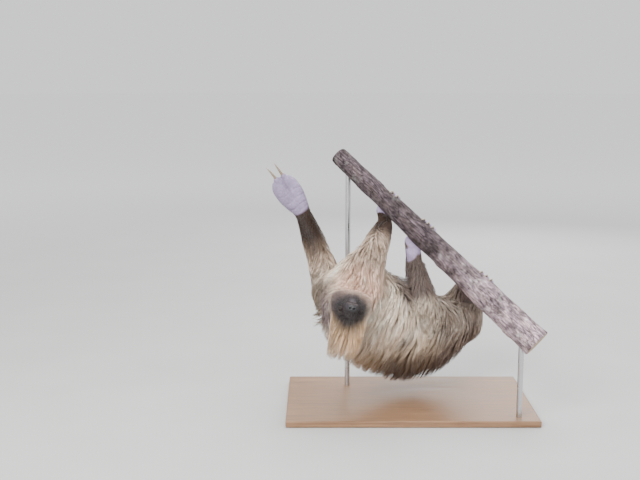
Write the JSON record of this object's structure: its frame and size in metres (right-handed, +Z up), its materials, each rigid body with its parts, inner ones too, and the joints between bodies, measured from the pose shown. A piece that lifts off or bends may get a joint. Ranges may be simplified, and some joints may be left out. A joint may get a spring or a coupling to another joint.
{
  "type": "two-toed sloth model",
  "caption": "Life-size two-toed sloth hanging belly up from a cut length of branch, head turned back and one arm reaching, held by a flat base and rods.",
  "frame": {"origin": "centre of the underside of the stand's base, on the floor", "axes": "+Z up; the rump is towards +X, the reaching hand towards -X, and the face looks along -Y"},
  "size_m": [0.8091, 0.4804, 0.7781],
  "materials": {
    "coat": "long shaggy blond-brown hair, paler at the tips",
    "coat_dark": "shorter dark brown hair of forearm and shank",
    "bare_skin": "bare pale pinkish-grey palms and soles, short hair on their backs",
    "muzzle_skin": "short sparse hair over pinkish-brown skin",
    "nose_skin": "moist dark skin",
    "eye": "dark brown, glossy, opaque",
    "claw": "smooth horn, standing for real claw",
    "bark": "weathered grey bark",
    "stand_wood": "satin varnished",
    "stand_steel": "brushed"
  },
  "bodies": {
    "root": {"claw_foot_left_1": "claw", "claw_foot_left_2": "claw", "claw_foot_left_3": "claw", "claw_foot_right_1": "claw", "claw_foot_right_2": "claw", "claw_foot_right_3": "claw", "claw_hand_left_1": "claw", "claw_hand_left_2": "claw", "claw_hand_right_1": "claw", "claw_hand_right_2": "claw", "ear_left": "coat", "ear_right": "coat", "eye_left": "eye", "eye_right": "eye", "foot_left": "bare_skin", "foot_right": "bare_skin", "forearm_left": "coat_dark", "forearm_right": "coat_dark", "hand_left": "bare_skin", "hand_right": "bare_skin", "head_cranium": "coat", "head_muzzle": "muzzle_skin", "neck": "coat", "nose": "nose_skin", "perch_branch": "bark", "shank_left": "coat_dark", "shank_right": "coat_dark", "stand_base": "stand_wood", "stand_rod_front": "stand_steel", "stand_rod_rear": "stand_steel", "thigh_left": "coat", "thigh_right": "coat", "trunk_chest": "coat", "trunk_loin": "coat", "trunk_rump": "coat", "upper_arm_left": "coat", "upper_arm_right": "coat"}
  },
  "joints": []
}
